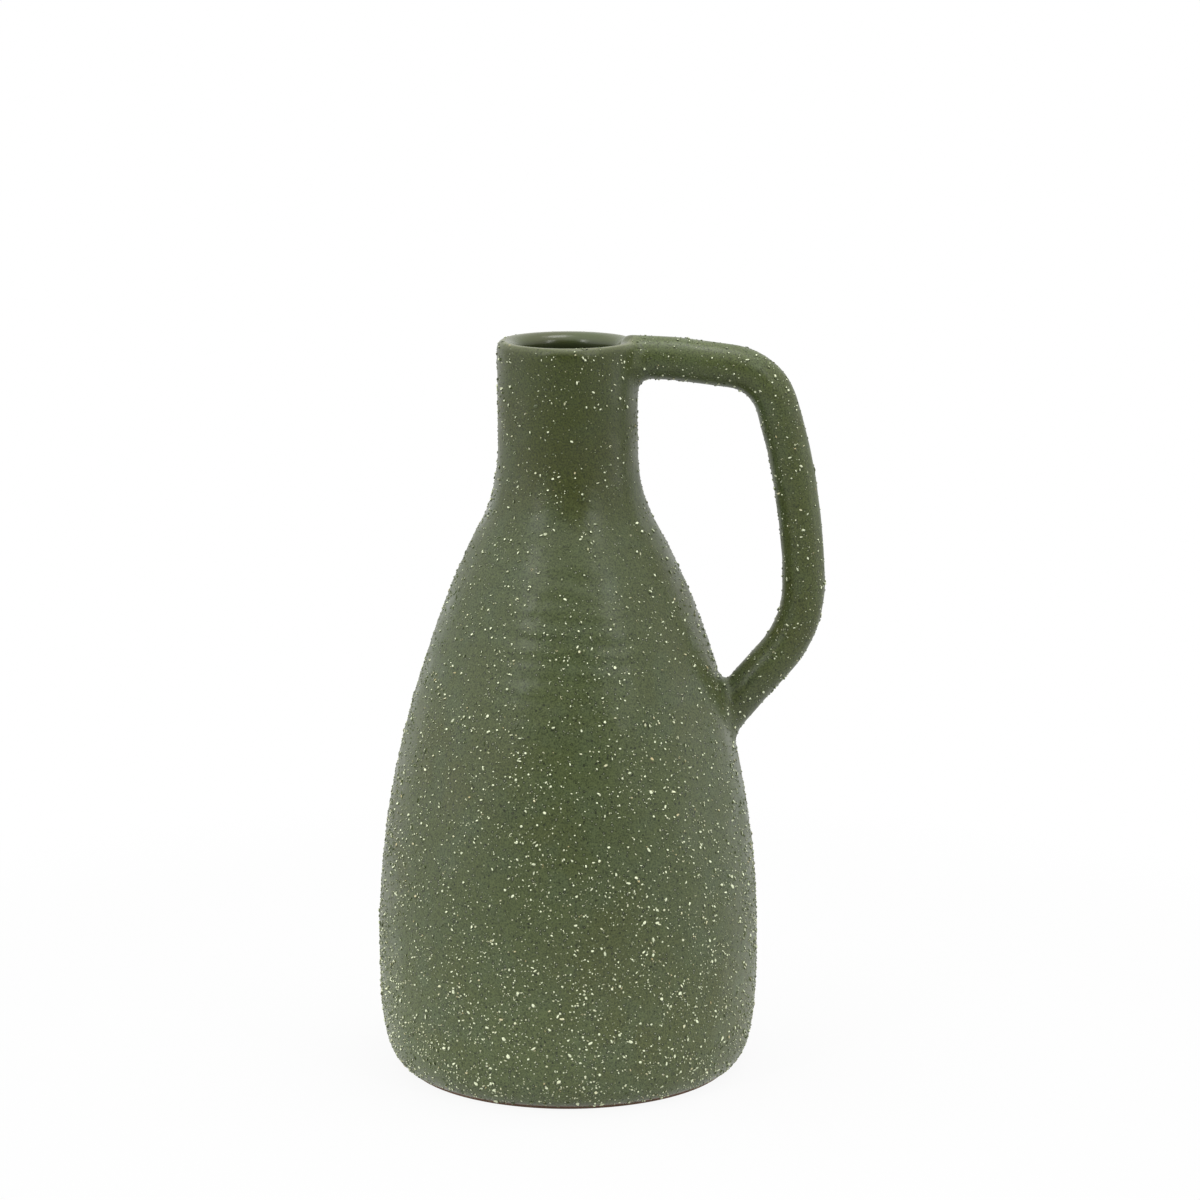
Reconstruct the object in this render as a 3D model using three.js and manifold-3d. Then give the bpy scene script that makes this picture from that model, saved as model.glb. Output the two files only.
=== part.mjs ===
// A one-handled stoneware vase, in millimetres, +Z up, with its origin at the centre of its foot.
// The handle stands out along +X. Sizes are those of the finished vase, over the glaze, unless
// their names say otherwise.
import * as THREE from "three";
import { mergeVertices } from "three/addons/utils/BufferGeometryUtils.js";
import Module from "manifold-3d";

const wasm = await Module();
wasm.setup();

// Body
const rim_height = 250; // crest of the lip
const foot_radius = 57; // at the lower edge of the glaze
const bare_foot_height = 1.2; // clay left bare under that edge
const foot_bevel = 0.5;
const heel_swell = 7.3; // the heel turns upright this far out from the foot
const heel_turn = 4.5; // and this far above the edge of the glaze
const heel_rise = 22; // it is nearly upright from this far below the belly's top
const belly_radius = 64.6;
const belly_height = 46; // top of the belly's widest part
const belly_fullness = 54; // how long the belly keeps its width before it leans in
const shoulder_radius = 29.6; // where the shoulder stops leaning in and turns up into the neck
const shoulder_height = 188;
const shoulder_lean = 0.55; // radius lost for each unit of height there
const shoulder_fullness = 30;
const neck_radius = 23.5;
const neck_height = 214; // where the neck is upright
const lip_crest_radius = 21.6;
const lip_outer_drop = 3.2; // height of the lip's rounding on the outside
const lip_inner_drop = 3.6; // and on the inside

// Walls
const clay_wall = 5.2;
const outer_glaze_thickness = 0.7;
const lining_thickness = 0.5;
const floor_thickness = 7; // clay under the lining
const inner_heel_radius = 14; // between the floor and the wall, inside

// Handle: a round rod that is bent in four places, in the plane of the vase's axis. It leaves the
// neck level with the rim, as the bar, turns down at the corner and in at the knee.
const rod_radius = 7.2;
const root_drop = 5.6; // from the crest down to the rod's upper end
const bar_bend = { out: 12.4, drop: 6.3, radius: 40 }; // out from the neck, down from the crest
const corner = { out: 43.6, drop: 10.6, radius: 19 };
const grip_bend = { bulge: 5, radius: 225 }; // halfway from the corner to the knee
const knee = { out: 26.1, rise: 29.5, radius: 38 }; // out and up from the rod's lower end
const lower_root_height = 123.2; // of that end, on the belly

// Joints between the rod and the body
const joint_fillet = 4.5;
const least_fillet = 0.4; // where the rod runs level into the rim
const joint_collar = 1.5; // straight slip on the rod beyond the fillet
const joint_depth = 3; // a root is carried this far into the wall before it is trimmed
const joint_gap = 0.3; // between a piece and the curved surface it was trimmed to
const trim_tolerance = 1e-4; // in finding where the rod meets that surface

// Fineness of the facets
const body_sides = 40;
const rod_sides = 16;
const heel_steps = 4;
const belly_steps = 7;
const shoulder_steps = 3;
const lip_steps = 3;
const fillet_steps = 3;
const bend_step = Math.PI / 15; // turn of the route between two rings

const wall = outer_glaze_thickness + clay_wall + lining_thickness;
const rod_angles = Array.from({ length: rod_sides }, (_, i) => (i / rod_sides) * 2 * Math.PI);

const green_glaze = new THREE.MeshStandardMaterial({ color: 0x566045, roughness: 0.55, metalness: 0 });
const shiny_glaze = new THREE.MeshStandardMaterial({ color: 0x4a553c, roughness: 0.25, metalness: 0 });
const bare_clay = new THREE.MeshStandardMaterial({ color: 0x8a6a52, roughness: 0.9, metalness: 0 });
const dried_slip = new THREE.MeshStandardMaterial({ color: 0x9a7a60, roughness: 0.9, metalness: 0 });

const flat = (reach, height) => new THREE.Vector2(reach, height);

// The body's outline over the glaze, from the glaze's lower edge up to the neck.
function bodyOutline() {
  const heel = new THREE.CubicBezierCurve(
    flat(foot_radius, bare_foot_height),
    flat(foot_radius + heel_swell, bare_foot_height + heel_turn),
    flat(belly_radius, belly_height - heel_rise),
    flat(belly_radius, belly_height),
  );
  const belly = new THREE.CubicBezierCurve(
    flat(belly_radius, belly_height),
    flat(belly_radius, belly_height + belly_fullness),
    flat(shoulder_radius + shoulder_lean * shoulder_fullness, shoulder_height - shoulder_fullness),
    flat(shoulder_radius, shoulder_height),
  );
  const shoulder = new THREE.QuadraticBezierCurve(
    flat(shoulder_radius, shoulder_height),
    flat(neck_radius, shoulder_height + (shoulder_radius - neck_radius) / shoulder_lean),
    flat(neck_radius, neck_height),
  );
  return [
    ...heel.getPoints(heel_steps),
    ...belly.getPoints(belly_steps).slice(1),
    ...shoulder.getPoints(shoulder_steps).slice(1),
  ];
}

// That outline moved inwards, square to itself; its first point moves level.
function insetOutline(depth) {
  const outline = bodyOutline();
  return outline.map((here, i) => {
    if (i === 0) return flat(here.x - depth, here.y);
    const after = outline[i + 1] ?? here;
    const along = after.clone().sub(outline[i - 1]).normalize();
    return flat(here.x - depth * along.y, here.y + depth * along.x);
  });
}

// A quarter of an ellipse from the side of its centre to the crest above it, or to the bottom
// below it where the rise is negative.
function quarterRound(centre, reach, rise) {
  return Array.from({ length: lip_steps + 1 }, (_, i) => {
    const turn = ((i / lip_steps) * Math.PI) / 2;
    return flat(centre.x + reach * Math.cos(turn), centre.y + rise * Math.sin(turn));
  });
}

// The outside of the body at a depth under the glaze's surface, from the foot up to the crest.
function outerSurface(depth) {
  const centre = flat(lip_crest_radius, rim_height - lip_outer_drop);
  const reach = neck_radius - depth - lip_crest_radius;
  return [...insetOutline(depth), ...quarterRound(centre, reach, lip_outer_drop - depth)];
}

// The inside of the body, from the centre of the floor up to the crest, with so much of the
// lining's thickness taken away: nothing for the lining's face, all of it for the clay's.
function innerSurface(taken) {
  const depth = wall - taken;
  const heel_height = floor_thickness + lining_thickness + inner_heel_radius;
  const heel_reach = radiusAt(insetOutline(wall), heel_height) - inner_heel_radius;
  const heel_size = inner_heel_radius + taken;
  const heel = quarterRound(flat(heel_reach, heel_height), heel_size, -heel_size).reverse();
  const side = insetOutline(depth).filter((p) => p.y > heel_height);
  const lip_centre = flat(lip_crest_radius, rim_height - lip_inner_drop);
  const lip_rise = lip_inner_drop - (taken / lining_thickness) * outer_glaze_thickness;
  const lip = quarterRound(lip_centre, neck_radius - depth - lip_crest_radius, lip_rise);
  return [flat(0, heel_height - heel_size), ...heel, ...side, ...lip];
}

// The radius at a height of a surface whose points run upwards. It goes straight up and down
// from its ends.
function radiusAt(surface, height) {
  const next = surface.findIndex((p) => p.y > height);
  if (next < 0) return surface[surface.length - 1].x;
  if (next === 0) return surface[0].x;
  const low = surface[next - 1];
  const high = surface[next];
  return THREE.MathUtils.mapLinear(height, low.y, high.y, low.x, high.x);
}

// An outline turned round the vase's axis.
function turned(outline) {
  return new THREE.LatheGeometry(outline, body_sides).rotateX(Math.PI / 2);
}

function solidOf(geometry) {
  const bare = geometry.clone();
  bare.deleteAttribute("normal");
  bare.deleteAttribute("uv");
  const merged = mergeVertices(bare);
  const vertProperties = merged.attributes.position.array;
  const triVerts = new Uint32Array(merged.index.array);
  return new wasm.Manifold(new wasm.Mesh({ numProp: 3, vertProperties, triVerts }));
}

function geometryOf(solid) {
  const mesh = solid.getMesh();
  const geometry = new THREE.BufferGeometry();
  geometry.setAttribute("position", new THREE.BufferAttribute(mesh.vertProperties, 3));
  geometry.setIndex(new THREE.BufferAttribute(mesh.triVerts, 1));
  const faceted = geometry.toNonIndexed();
  faceted.computeVertexNormals();
  return faceted;
}

// All the space inside a surface of the body, and straight up from its crest, so that what it
// trims ends at the lip.
function bodySpace(depth) {
  const outside = outerSurface(depth);
  const top = rim_height + 2 * rod_radius;
  const crest = outside[outside.length - 1];
  return solidOf(
    turned([flat(0, 0), flat(outside[0].x, 0), ...outside, flat(crest.x, top), flat(0, top)]),
  );
}

// The places that the rod's centre would run through if its bends were sharp.
function routeCorners() {
  const upper_root = flat(lip_crest_radius, rim_height - root_drop);
  const lower_root = flat(radiusAt(outerSurface(0), lower_root_height), lower_root_height);
  const [bar_place, corner_place] = [bar_bend, corner].map((bend) =>
    flat(neck_radius + bend.out, rim_height - bend.drop),
  );
  const knee_place = flat(lower_root.x + knee.out, lower_root.y + knee.rise);
  const grip = knee_place.clone().sub(corner_place);
  const outwards = flat(-grip.y, grip.x).setLength(grip_bend.bulge);
  const grip_place = corner_place.clone().lerp(knee_place, 0.5).add(outwards);
  return [upper_root, bar_place, corner_place, grip_place, knee_place, lower_root];
}

// Stations on the rod's route, each with its place and the way the route runs there. They lie on
// the arcs of its bends, so the route is straight between two bends and beyond the last ones.
function routeStations() {
  const corners = routeCorners();
  return [bar_bend, corner, grip_bend, knee].flatMap(({ radius }, i) => {
    const bend = corners[i + 1];
    const incoming = bend.clone().sub(corners[i]).normalize();
    const outgoing = corners[i + 2].clone().sub(bend).normalize();
    const turn = Math.atan2(incoming.cross(outgoing), incoming.dot(outgoing));
    const start = bend.clone().addScaledVector(incoming, -radius * Math.tan(Math.abs(turn) / 2));
    const side = flat(-incoming.y, incoming.x).multiplyScalar(Math.sign(turn) * radius);
    const centre = start.clone().add(side);
    const steps = Math.ceil(Math.abs(turn) / bend_step);
    return Array.from({ length: steps + 1 }, (_, step) => ({
      centre: start.clone().rotateAround(centre, (turn * step) / steps),
      along: incoming.clone().rotateAround(flat(0, 0), (turn * step) / steps),
    }));
  });
}

// A place round a station: out from the route at an angle that counts from the outside of the
// handle's loop, and on along the route.
function placeRound(station, angle, out, on) {
  const across = flat(-station.along.y, station.along.x);
  const place = station.centre
    .clone()
    .addScaledVector(across, out * Math.cos(angle))
    .addScaledVector(station.along, on);
  return new THREE.Vector3(place.x, out * Math.sin(angle), place.y);
}

// How far it is from a point outside the body to one of its surfaces, going one way.
function distanceTo(surface, from, way) {
  let outside = 0;
  let inside = -from.x / way.x;
  while (inside - outside > trim_tolerance) {
    const middle = (outside + inside) / 2;
    const radius = Math.hypot(from.x + middle * way.x, from.y);
    if (radius > radiusAt(surface, from.z + middle * way.y)) outside = middle;
    else inside = middle;
  }
  return inside;
}

// The fillet shrinks where the rod's surface comes near the rim.
function filletAt(station, angle) {
  const height = station.centre.y + rod_radius * station.along.x * Math.cos(angle);
  const room = rim_height - lip_outer_drop - height;
  return THREE.MathUtils.clamp(room, least_fillet, joint_fillet);
}

// The rings of one root, at a depth under the glaze's surface: one where the joint meets the
// rod, then the fillet's out over the body, then one inside its wall. From the station, the body
// lies ahead along the route (1) or behind (-1).
function rootRings(station, ahead, depth) {
  const way = station.along.clone().multiplyScalar(ahead);
  const distance = (surface, angle, out) =>
    distanceTo(surface, placeRound(station, angle, out, 0), way);
  const glaze_surface = outerSurface(0);
  const fillet_starts = rod_angles.map(
    (angle) => distance(glaze_surface, angle, rod_radius) - filletAt(station, angle),
  );
  const joint = Math.min(...fillet_starts) - joint_collar;
  const joint_middle = placeRound(station, 0, 0, ahead * joint);
  const rod_top = Math.max(joint_middle.z + rod_radius, rim_height);
  // The rod's top comes down to the rim's height at the crest.
  const levelled = (place) => {
    const along = THREE.MathUtils.inverseLerp(lip_crest_radius, joint_middle.x, place.x);
    const share = THREE.MathUtils.clamp(along, 0, 1);
    place.z = Math.min(place.z, THREE.MathUtils.lerp(rim_height, rod_top, share) - depth);
    return place;
  };
  const surface = outerSurface(depth);
  const filletRing = (turn, beyond) =>
    rod_angles.map((angle) => {
      const size = filletAt(station, angle) + depth;
      const out = rod_radius - depth + size * (1 - Math.cos(turn));
      const on = distance(surface, angle, out) - size * (1 - Math.sin(turn)) + beyond;
      return levelled(placeRound(station, angle, out, ahead * on));
    });
  return [
    rod_angles.map((angle) => placeRound(station, angle, rod_radius - depth, ahead * joint)),
    ...Array.from({ length: fillet_steps + 1 }, (_, i) =>
      filletRing(((i / fillet_steps) * Math.PI) / 2, 0),
    ),
    filletRing(Math.PI / 2, joint_depth),
  ];
}

// All the rings of the handle at a depth under the glaze's surface, from inside the neck's wall
// to inside the belly's.
function handleRings(depth) {
  const stations = routeStations();
  return {
    upper: rootRings(stations[0], -1, depth).reverse(),
    rod: stations.map((station) =>
      rod_angles.map((angle) => placeRound(station, angle, rod_radius - depth, 0)),
    ),
    lower: rootRings(stations[stations.length - 1], 1, depth),
  };
}

// A closed skin over rings of equally many points, with a flat fan at each end.
function lofted(rings) {
  const sides = rings[0].length;
  const points = rings.flat();
  const faces = [];
  const middleOf = (ring) => ring.reduce((sum, p) => sum.add(p), new THREE.Vector3());
  const first_middle = points.length;
  const last_middle = first_middle + 1;
  const last_ring = points.length - sides;
  for (let side = 0; side < sides; side++) {
    const next = (side + 1) % sides;
    for (let start = 0; start < last_ring; start += sides) {
      const [a, b] = [start + side, start + next];
      faces.push(a, a + sides, b, b, a + sides, b + sides);
    }
    faces.push(first_middle, side, next, last_middle, last_ring + next, last_ring + side);
  }
  points.push(middleOf(rings[0]).divideScalar(sides));
  points.push(middleOf(rings[rings.length - 1]).divideScalar(sides));
  const geometry = new THREE.BufferGeometry().setFromPoints(points).setIndex(faces);
  geometry.computeVertexNormals();
  return geometry;
}

function wholeHandle(depth) {
  const { upper, rod, lower } = handleRings(depth);
  return solidOf(lofted([...upper, ...rod, ...lower]));
}

function bodyShape() {
  const foot = foot_radius - outer_glaze_thickness;
  const outside = outerSurface(outer_glaze_thickness);
  const inside = innerSurface(lining_thickness).reverse();
  return turned([
    flat(0, 0),
    flat(foot - foot_bevel, 0),
    flat(foot, foot_bevel),
    ...outside,
    ...inside.slice(1),
  ]);
}

function liningShape() {
  return turned([...innerSurface(lining_thickness), ...innerSurface(0).reverse()]);
}

// The coat on the body is left open where the handle's joints come through it.
function bodyGlazeShape() {
  const outside = outerSurface(0);
  const coat = turned([...outside, ...outerSurface(outer_glaze_thickness).reverse(), outside[0]]);
  return geometryOf(solidOf(coat).subtract(wholeHandle(outer_glaze_thickness - joint_gap)));
}

function handleGlazeShape() {
  const coat = wholeHandle(0).subtract(wholeHandle(outer_glaze_thickness));
  return geometryOf(coat.subtract(bodySpace(-joint_gap)));
}

// The slip of a joint takes over from the rod's end and spreads on to the body's clay.
function jointShape(rings) {
  const clay = bodySpace(outer_glaze_thickness - joint_gap);
  return geometryOf(solidOf(lofted(rings)).subtract(clay));
}

function piece(name, geometry, material) {
  const mesh = new THREE.Mesh(geometry, material);
  mesh.name = name;
  return mesh;
}

const clay_handle = handleRings(outer_glaze_thickness);
const { upper, rod, lower } = clay_handle;

const clay = new THREE.Group();
clay.add(piece("body", bodyShape(), bare_clay));
clay.add(piece("handle", lofted([upper[upper.length - 1], ...rod, lower[0]]), bare_clay));
clay.add(piece("upper_joint", jointShape(upper), dried_slip));
clay.add(piece("lower_joint", jointShape(lower), dried_slip));

const glaze = new THREE.Group();
glaze.add(piece("inner_glaze", liningShape(), shiny_glaze));
glaze.add(piece("body_glaze", bodyGlazeShape(), green_glaze));
glaze.add(piece("handle_glaze", handleGlazeShape(), green_glaze));

const vase = new THREE.Group();
vase.add(clay, glaze);

export default vase;
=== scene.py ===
"""The looks of a one-handled stoneware vase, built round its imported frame.

The vase stands on its foot at the origin, with its handle along +X. Lengths are in metres.
"""

import math
from typing import NamedTuple

import bmesh
import bpy
import numpy as np
from bpy.props import (
    FloatProperty,
    FloatVectorProperty,
    IntProperty,
    PointerProperty,
)
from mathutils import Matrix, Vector, noise
from mathutils.geometry import interpolate_bezier


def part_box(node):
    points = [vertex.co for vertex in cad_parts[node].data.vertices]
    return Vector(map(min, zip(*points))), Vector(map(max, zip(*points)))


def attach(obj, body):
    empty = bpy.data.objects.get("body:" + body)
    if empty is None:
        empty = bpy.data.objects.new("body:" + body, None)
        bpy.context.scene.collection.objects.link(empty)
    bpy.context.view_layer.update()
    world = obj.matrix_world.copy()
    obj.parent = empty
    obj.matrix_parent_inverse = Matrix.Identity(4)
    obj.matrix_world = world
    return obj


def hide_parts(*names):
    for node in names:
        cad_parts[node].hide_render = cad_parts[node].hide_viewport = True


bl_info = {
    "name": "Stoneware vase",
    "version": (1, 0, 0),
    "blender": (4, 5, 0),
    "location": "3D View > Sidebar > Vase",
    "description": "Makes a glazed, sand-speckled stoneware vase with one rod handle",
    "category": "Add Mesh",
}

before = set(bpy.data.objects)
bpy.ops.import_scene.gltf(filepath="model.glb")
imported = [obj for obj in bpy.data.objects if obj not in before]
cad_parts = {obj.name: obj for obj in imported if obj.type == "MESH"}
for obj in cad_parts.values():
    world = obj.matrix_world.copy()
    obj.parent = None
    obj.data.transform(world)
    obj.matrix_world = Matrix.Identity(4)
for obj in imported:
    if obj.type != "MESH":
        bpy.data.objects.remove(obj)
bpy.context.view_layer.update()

MM = 0.001
BODY = "root"
coat_low, coat_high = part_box("body_glaze")
lining_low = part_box("inner_glaze")[0]


def length(name, millimetres, description):
    """A length that a user can change."""
    return FloatProperty(
        name=name, description=description, default=millimetres * MM, unit="LENGTH", precision=4
    )


def bend(name, first, second, radius, description):
    """Where the rod's route has a bend: two lengths that place it and its radius."""
    return FloatVectorProperty(
        name=name,
        description=description,
        size=3,
        default=(first * MM, second * MM, radius * MM),
        unit="LENGTH",
        precision=4,
    )


def colour(name, red, green, blue, description):
    """A colour, in linear light."""
    return FloatVectorProperty(
        name=name,
        description=description,
        subtype="COLOR",
        size=3,
        min=0,
        max=1,
        default=(red, green, blue),
    )


def share(name, value, description):
    """A number between nothing and all."""
    return FloatProperty(
        name=name, description=description, default=value, min=0, max=1, subtype="FACTOR"
    )


def number(name, value, description):
    """A plain number."""
    return FloatProperty(name=name, description=description, default=value)


def power(name, watts, description):
    """A lamp's power."""
    return FloatProperty(name=name, description=description, default=watts, unit="POWER")


class VaseBodySizes(bpy.types.PropertyGroup):
    """Outline of the body over its glaze, and its walls."""

    rim_height: length("Rim height", coat_high.z / MM, "Crest of the lip above the foot")
    foot_radius: length("Foot radius", 57, "At the glaze's lower edge")
    bare_foot: length("Bare foot", coat_low.z / MM, "Clay left bare under the glaze")
    foot_bevel: length("Foot bevel", 0.5, "Rounding of the foot's edge")
    heel_swell: length("Heel swell", 7.3, "How far out from the foot the heel turns upright")
    heel_turn: length("Heel turn", 4.5, "How far above the glaze's edge it does so")
    heel_rise: length("Heel rise", 22, "Nearly upright from this far below the belly's top")
    belly_radius: length("Belly radius", coat_high.x / MM, "Widest part")
    belly_height: length("Belly height", 46, "Top of the widest part")
    belly_fullness: length("Belly fullness", 54, "How long the belly keeps its width")
    shoulder_radius: length("Shoulder radius", 29.6, "Where the shoulder turns up")
    shoulder_height: length("Shoulder height", 188, "Where the shoulder turns up")
    shoulder_lean: number("Shoulder lean", 0.55, "Radius lost for each unit of height there")
    shoulder_fullness: length("Shoulder fullness", 30, "How long it keeps that lean")
    neck_radius: length("Neck radius", 23.5, "Upright part of the neck")
    neck_height: length("Neck height", 214, "Where the neck is upright")
    crest_radius: length("Crest radius", 21.6, "Highest line of the lip")
    lip_outer_drop: length("Outer lip", 3.2, "Height of the lip's rounding outside")
    lip_inner_drop: length("Inner lip", 3.6, "Height of the lip's rounding inside")
    glaze: length("Glaze", 0.7, "Thickness of the outer glaze")
    lining: length("Lining", 0.5, "Thickness of the inner glaze")
    wall: length("Wall", 6.4, "Clay with both glazes")
    floor_height: length("Floor", lining_low.z / MM, "Clay under the lining")
    inner_heel: length("Inner heel", 14, "Rounding between floor and wall, inside")


class VaseHandleSizes(bpy.types.PropertyGroup):
    """The rod's route in the plane of the vase's axis."""

    rod_radius: length("Rod radius", 7.2, "Over the glaze")
    root_drop: length("Root drop", 5.6, "From the crest down to the rod's upper end")
    bar_bend: bend("Bar bend", 12.4, 6.3, 40, "Out from the neck, down from the crest")
    corner: bend("Corner", 43.6, 10.6, 19, "Out from the neck, down from the crest")
    grip_bulge: length("Grip bulge", 5, "Outward bow halfway from the corner to the knee")
    grip_radius: length("Grip radius", 225, "Radius of that bow")
    knee: bend("Knee", 26.1, 29.5, 38, "Out and up from the rod's lower end")
    lower_root: length("Lower root", 123.2, "Height of the rod's lower end on the belly")
    fillet: length("Fillet", 4.5, "Slip smoothed round a joint")
    rim_fillet: length("Fillet at the rim", 1.2, "Where the rod runs level into the rim")


class VaseGlazeLook(bpy.types.PropertyGroup):
    """Colours and surface of the glazes and the clay."""

    moss: colour("Moss", 0.086, 0.109, 0.041, "Main colour of the glaze")
    olive: colour("Olive", 0.080, 0.091, 0.030, "Where it lies thick")
    sage: colour("Sage", 0.090, 0.122, 0.064, "Where its surface has gone stony")
    # Lightness of the glaze at three heights: partly its own tone, partly painted shade up the neck
    neck_tone: share("Tone of the neck", 0.70, "How light the glaze is there")
    shoulder_tone: share("Tone of the shoulder", 0.82, "How light it is there")
    foot_tone: number("Tone of the foot", 1.2, "How light it is down at the foot")
    # Lighter colour where the glaze runs thin over the crest, which is also a painted highlight there
    thin_and_painted_light: colour("Thin glaze", 0.270, 0.280, 0.180, "Where it runs thin over the crest")
    # Painted shade down inside the neck, and a little of it over all the lining
    throat_and_painted_shade: colour("Throat", 0.026, 0.034, 0.012, "The shiny glaze down inside the neck")
    clay: colour("Clay", 0.250, 0.150, 0.095, "Bare fired clay")
    slip: colour("Slip", 0.280, 0.190, 0.130, "Slip at the joints")
    cream: colour("Cream sand", 0.940, 1.000, 0.700, "The bare grains")
    tan: colour("Tan sand", 0.520, 0.410, 0.190, "Grains with iron in them")
    rust: colour("Rust", 0.110, 0.085, 0.040, "What the iron does to the glaze round them")
    roughness: share("Roughness", 0.38, "Of the outer glaze")
    lining_roughness: share("Lining roughness", 0.26, "Of the shiny inner glaze")
    sway: length("Sway", 0.35, "How far the shape strays from a true round")
    sway_seed: IntProperty(name="Sway seed", description="Chooses where it strays", default=5, min=1)
    pull: length("Pull", 0.45, "How far the handle pulled the shoulder towards it")
    ridge: length("Throwing ridges", 0.17, "Height of the faint rings round the shoulder")
    ridge_pitch: length("Ridge pitch", 6.5, "From one ring to the next")
    lump: length("Lumps", 0.22, "Height of the soft lumps in the outer glaze")
    lump_wave: length("Lump width", 9.0, "From one lump to the next")
    # Also moves painted light to the upper side of each grain and painted shade to its lower side
    glaze_run_and_painted_light: share("Glaze run", 0.25, "How far the glaze ran off the upper side of each grain")
    neck_blue: share("Blue of the neck", 0.66, "How much of the glaze's blue is left there")
    handle_blue: share("Blue of the handle", 0.86, "How much of the glaze's blue is left there")


class VaseGritSizes(bpy.types.PropertyGroup):
    """The sand in the outer glaze."""

    fine: length("Fine sand", 0.42, "Across its smallest grain")
    least: length("Cream sand", 0.60, "Across its smallest grain")
    coarse: length("Coarse sand", 0.90, "Across its smallest grain")
    largest: length("Largest grain", 1.55, "Across")
    coarse_low: number("Coarse grains low down", 2.6, "In a square centimetre near the foot")
    cream_low: number("Cream grains low down", 13.5, "In a square centimetre near the foot")
    fine_low: number("Fine grains low down", 20.0, "In a square centimetre near the foot")
    covered_low: number("Covered grains low down", 11.0, "In a square centimetre near the foot")
    tan_low: number("Tan grains low down", 1.7, "In a square centimetre near the foot")
    rims_low: number("Pit rims low down", 0.9, "In a square centimetre near the foot")
    high_share: share("Sand high up", 0.32, "At the rim, for each grain near the foot")
    seed: IntProperty(name="Seed", description="Chooses where the grains lie", default=7)


class VaseStage(bpy.types.PropertyGroup):
    """Camera, lamps and floor."""

    camera_distance: length("Camera distance", 1300, "From the vase's axis, level")
    camera_height: length("Camera height", 427.6, "Above the floor")
    camera_tilt: FloatProperty(
        name="Tilt", description="Down from level", default=math.radians(11.577), subtype="ANGLE"
    )
    camera_pan: FloatProperty(
        name="Pan", description="To the right", default=math.radians(0.477), subtype="ANGLE"
    )
    lens: number("Lens", 117.72, "Focal length in millimetres")
    left_power: power("Left lamp", 3.6, "Tall softbox in front, on the left")
    right_power: power("Right lamp", 3.0, "Tall softbox in front, on the right")
    low_left_power: power("Low left lamp", 0.45, "Softbox at the left side, near the floor")
    low_right_power: power("Low right lamp", 0.70, "Softbox at the right side, near the floor")
    top_power: power("Top lamp", 5.0, "Over the vase, a little to the right")
    room_left: number("Room, left", 1.45, "Light from the left wall")
    room_right: number("Room, right", 0.95, "Light from the right wall")
    room_top: number("Room, top", 1.65, "Light from the ceiling")
    room_back: number("Room, far side", 0.25, "Light from behind the vase")
    floor_white: share("White floor", 0.92, "How much of the floor's shade the camera misses")
    floor_fade: length("Floor fade", 380, "The shade on the floor is gone this far out")


class VaseSettings(bpy.types.PropertyGroup):
    """All that the panel shows."""

    body: PointerProperty(type=VaseBodySizes)
    handle: PointerProperty(type=VaseHandleSizes)
    look: PointerProperty(type=VaseGlazeLook)
    grit: PointerProperty(type=VaseGritSizes)
    stage: PointerProperty(type=VaseStage)


# Fineness of the meshes
SIDES = 192
RING_STEP = 2.0 * MM
FOOT_STEP = 2 * RING_STEP
FLOOR_STEP = 3 * RING_STEP
LIP_STEPS = 6
INNER_LIP_STEPS = 8
HEEL_ROUND_STEPS = 8
ROD_SIDES = 48
ROD_STEP = 1.7 * MM
BEND_STEP = ROD_STEP / 4
BRIDGE_RINGS = 5
SMOOTHED_ROWS = 2
RELAX_ROUNDS = 12
RELAX_SHARE = 0.5
PROJECT_ROUNDS = 4
NUDGE = 0.01 * MM
LEAST_SLOPE = 0.25
NO_RADIUS = 1e-9


# Outlines: arrays of radius and height, from the foot up to the crest unless they say otherwise


def curve_points(ends, step):
    """Points on a cubic curve about a step apart, without its first point."""
    knot_1, handle_1, handle_2, knot_2 = (Vector((r, 0, z)) for r, z in ends)
    count = max(3, round((knot_2 - knot_1).length / step)) + 1
    points = interpolate_bezier(knot_1, handle_1, handle_2, knot_2, count)
    return [(p.x, p.z) for p in points[1:]]


def quarter_round(centre, reach, rise, steps):
    """A quarter of an ellipse, from the side of its centre to the point above or below it."""
    turns = np.linspace(0, math.pi / 2, steps + 1)
    return [(centre[0] + reach * math.cos(t), centre[1] + rise * math.sin(t)) for t in turns]


def side_outline(s):
    """The body's side from the edge of the glaze at the foot up to the lip's rounding."""
    foot = (s.foot_radius, s.bare_foot)
    belly_top = (s.belly_radius, s.belly_height)
    shoulder = (s.shoulder_radius, s.shoulder_height)
    neck = (s.neck_radius, s.neck_height)
    heel = (foot, (s.foot_radius + s.heel_swell, s.bare_foot + s.heel_turn))
    heel += ((s.belly_radius, s.belly_height - s.heel_rise), belly_top)
    lean = s.shoulder_lean * s.shoulder_fullness
    belly = (belly_top, (s.belly_radius, s.belly_height + s.belly_fullness))
    belly += ((s.shoulder_radius + lean, s.shoulder_height - s.shoulder_fullness), shoulder)
    drop = (s.shoulder_radius - s.neck_radius) / s.shoulder_lean
    turn = Vector((s.neck_radius, s.shoulder_height + drop))
    towards = [tuple(Vector(end).lerp(turn, 2 / 3)) for end in (shoulder, neck)]
    straight = s.rim_height - s.lip_outer_drop - s.neck_height
    risers = np.linspace(0, straight, round(straight / RING_STEP) + 1)[1:]
    return [
        foot,
        *curve_points(heel, RING_STEP),
        *curve_points(belly, RING_STEP),
        *curve_points((shoulder, *towards, neck), RING_STEP),
        *((s.neck_radius, s.neck_height + rise) for rise in risers),
    ]


def outer_outline(s):
    """The glaze's face outside, with its level lower edge, up to the crest."""
    lip = (s.crest_radius, s.rim_height - s.lip_outer_drop)
    round_lip = quarter_round(lip, s.neck_radius - s.crest_radius, s.lip_outer_drop, LIP_STEPS)
    edge = (s.foot_radius - s.glaze, s.bare_foot)
    return np.array([edge, *side_outline(s), *round_lip[1:]])


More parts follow.
